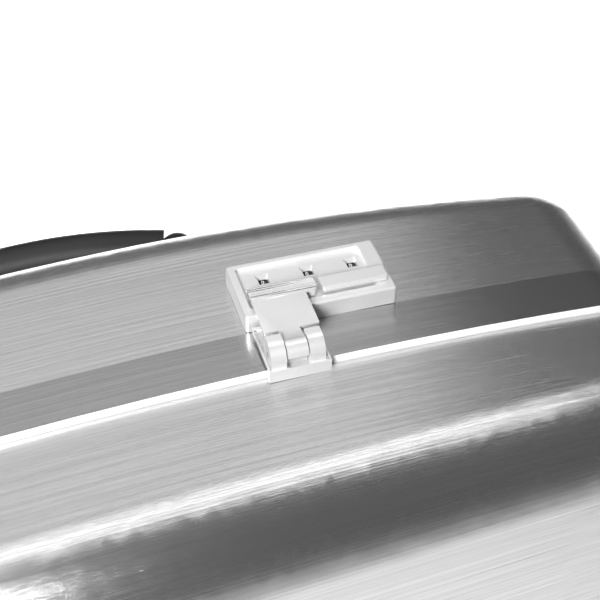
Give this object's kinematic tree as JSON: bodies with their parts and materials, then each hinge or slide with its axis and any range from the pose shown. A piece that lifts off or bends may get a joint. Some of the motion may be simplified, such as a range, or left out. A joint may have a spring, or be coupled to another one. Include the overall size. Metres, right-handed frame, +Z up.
{
  "type": "hard travel case",
  "caption": "Pillow-shaped brushed-aluminium hard case standing on its hinge side, with combination latches on top and a bail handle on the back face.",
  "frame": {"origin": "middle of the bounding box at floor level, under the feet", "axes": "+X along the width, +Y from the front half towards the back half, +Z up through the latch side"},
  "size_m": [0.5704, 0.2526, 0.4019],
  "materials": {
    "brushed_shell": "brushed along the width",
    "rim_metal": "brushed, polished lip",
    "latch_metal": "satin",
    "dial_black": "matt, knurled edge, white numbers",
    "gasket_rubber": "matt",
    "foot_rubber": "matt",
    "lining_cloth": "woven",
    "hinge_steel": "satin",
    "screw_steel": "bright",
    "black_metal": "semi-gloss black",
    "grip_black": "soft matt"
  },
  "bodies": {
    "back_case": {"back_shell": "brushed_shell", "back_rim_frame": "rim_metal", "rim_gasket": "gasket_rubber", "back_lining": "lining_cloth", "back_foot_left": "foot_rubber", "back_foot_right": "foot_rubber", "hinge_leaf_back_left": "hinge_steel", "hinge_pin_left": "hinge_steel", "handle_bracket_left": "black_metal", "handle_pin_left": "hinge_steel", "bracket_screw_left_1": "screw_steel", "bracket_screw_left_2": "screw_steel", "lock_housing_left": "latch_metal", "lock_base_left": "latch_metal", "lock_screw_left_1": "screw_steel", "lock_screw_left_2": "screw_steel", "slide_spring_left": "screw_steel", "hinge_leaf_back_right": "hinge_steel", "hinge_pin_right": "hinge_steel", "handle_bracket_right": "black_metal", "handle_pin_right": "hinge_steel", "bracket_screw_right_1": "screw_steel", "bracket_screw_right_2": "screw_steel", "lock_housing_right": "latch_metal", "lock_base_right": "latch_metal", "lock_screw_right_1": "screw_steel", "lock_screw_right_2": "screw_steel", "slide_spring_right": "screw_steel"},
    "front_case": {"front_shell": "brushed_shell", "front_rim_frame": "rim_metal", "front_lining": "lining_cloth", "front_foot_left": "foot_rubber", "front_foot_right": "foot_rubber", "hinge_leaf_front_left": "hinge_steel", "keeper_left": "latch_metal", "keeper_rivet_left_1": "screw_steel", "keeper_rivet_left_2": "screw_steel", "hasp_pin_left": "hinge_steel", "hinge_leaf_front_right": "hinge_steel", "keeper_right": "latch_metal", "keeper_rivet_right_1": "screw_steel", "keeper_rivet_right_2": "screw_steel", "hasp_pin_right": "hinge_steel"},
    "handle": {"handle_core": "black_metal", "handle_grip": "grip_black"},
    "dial_left_1": {"dial_left_1": "dial_black"},
    "dial_left_2": {"dial_left_2": "dial_black"},
    "dial_left_3": {"dial_left_3": "dial_black"},
    "slide_left": {"release_slide_left": "latch_metal", "lock_bolt_left": "latch_metal"},
    "hasp_left": {"hasp_left": "latch_metal"},
    "dial_right_1": {"dial_right_1": "dial_black"},
    "dial_right_2": {"dial_right_2": "dial_black"},
    "dial_right_3": {"dial_right_3": "dial_black"},
    "slide_right": {"release_slide_right": "latch_metal", "lock_bolt_right": "latch_metal"},
    "hasp_right": {"hasp_right": "latch_metal"}
  },
  "joints": [
    {"name": "lid_hinge", "type": "hinge", "parent": "back_case", "child": "front_case", "pos_m": [0, -0.04542, 0.0052], "axis": [1, 0, 0], "range_deg": [0, 100]},
    {"name": "handle_pivot", "type": "hinge", "parent": "back_case", "child": "handle", "pos_m": [0, 0.08323, 0.322], "axis": [1, 0, 0], "range_deg": [-105, 48]},
    {"name": "dial_left_1_spin", "type": "hinge", "parent": "back_case", "child": "dial_left_1", "pos_m": [-0.14498, 0.00813, 0.38731], "axis": [-0.0714, 0, 0.9974], "continuous": true},
    {"name": "dial_left_2_spin", "type": "hinge", "parent": "back_case", "child": "dial_left_2", "pos_m": [-0.12483, 0.00813, 0.38875], "axis": [-0.0714, 0, 0.9974], "continuous": true},
    {"name": "dial_left_3_spin", "type": "hinge", "parent": "back_case", "child": "dial_left_3", "pos_m": [-0.10468, 0.00813, 0.39019], "axis": [-0.0714, 0, 0.9974], "continuous": true},
    {"name": "slide_left_release", "type": "slide", "parent": "back_case", "child": "slide_left", "axis": [0.9974, 0, 0.0714], "range_m": [0, 0.003], "stiffness_N_per_m": 300, "springref_m": -0.004, "deforming": ["slide_spring_left"]},
    {"name": "hasp_left_pivot", "type": "hinge", "parent": "front_case", "child": "hasp_left", "pos_m": [-0.1449, -0.04227, 0.39182], "axis": [0.9974, 0, 0.0714], "range_deg": [0, 105]},
    {"name": "dial_right_1_spin", "type": "hinge", "parent": "back_case", "child": "dial_right_1", "pos_m": [0.10548, 0.00813, 0.39014], "axis": [0.0714, 0, 0.9974], "continuous": true},
    {"name": "dial_right_2_spin", "type": "hinge", "parent": "back_case", "child": "dial_right_2", "pos_m": [0.12563, 0.00813, 0.38869], "axis": [0.0714, 0, 0.9974], "continuous": true},
    {"name": "dial_right_3_spin", "type": "hinge", "parent": "back_case", "child": "dial_right_3", "pos_m": [0.14578, 0.00813, 0.38725], "axis": [0.0714, 0, 0.9974], "continuous": true},
    {"name": "slide_right_release", "type": "slide", "parent": "back_case", "child": "slide_right", "axis": [0.9974, 0, -0.0714], "range_m": [0, 0.003], "stiffness_N_per_m": 300, "springref_m": -0.004, "deforming": ["slide_spring_right"]},
    {"name": "hasp_right_pivot", "type": "hinge", "parent": "front_case", "child": "hasp_right", "pos_m": [0.1062, -0.04227, 0.3946], "axis": [0.9974, 0, -0.0714], "range_deg": [0, 105]}
  ]
}
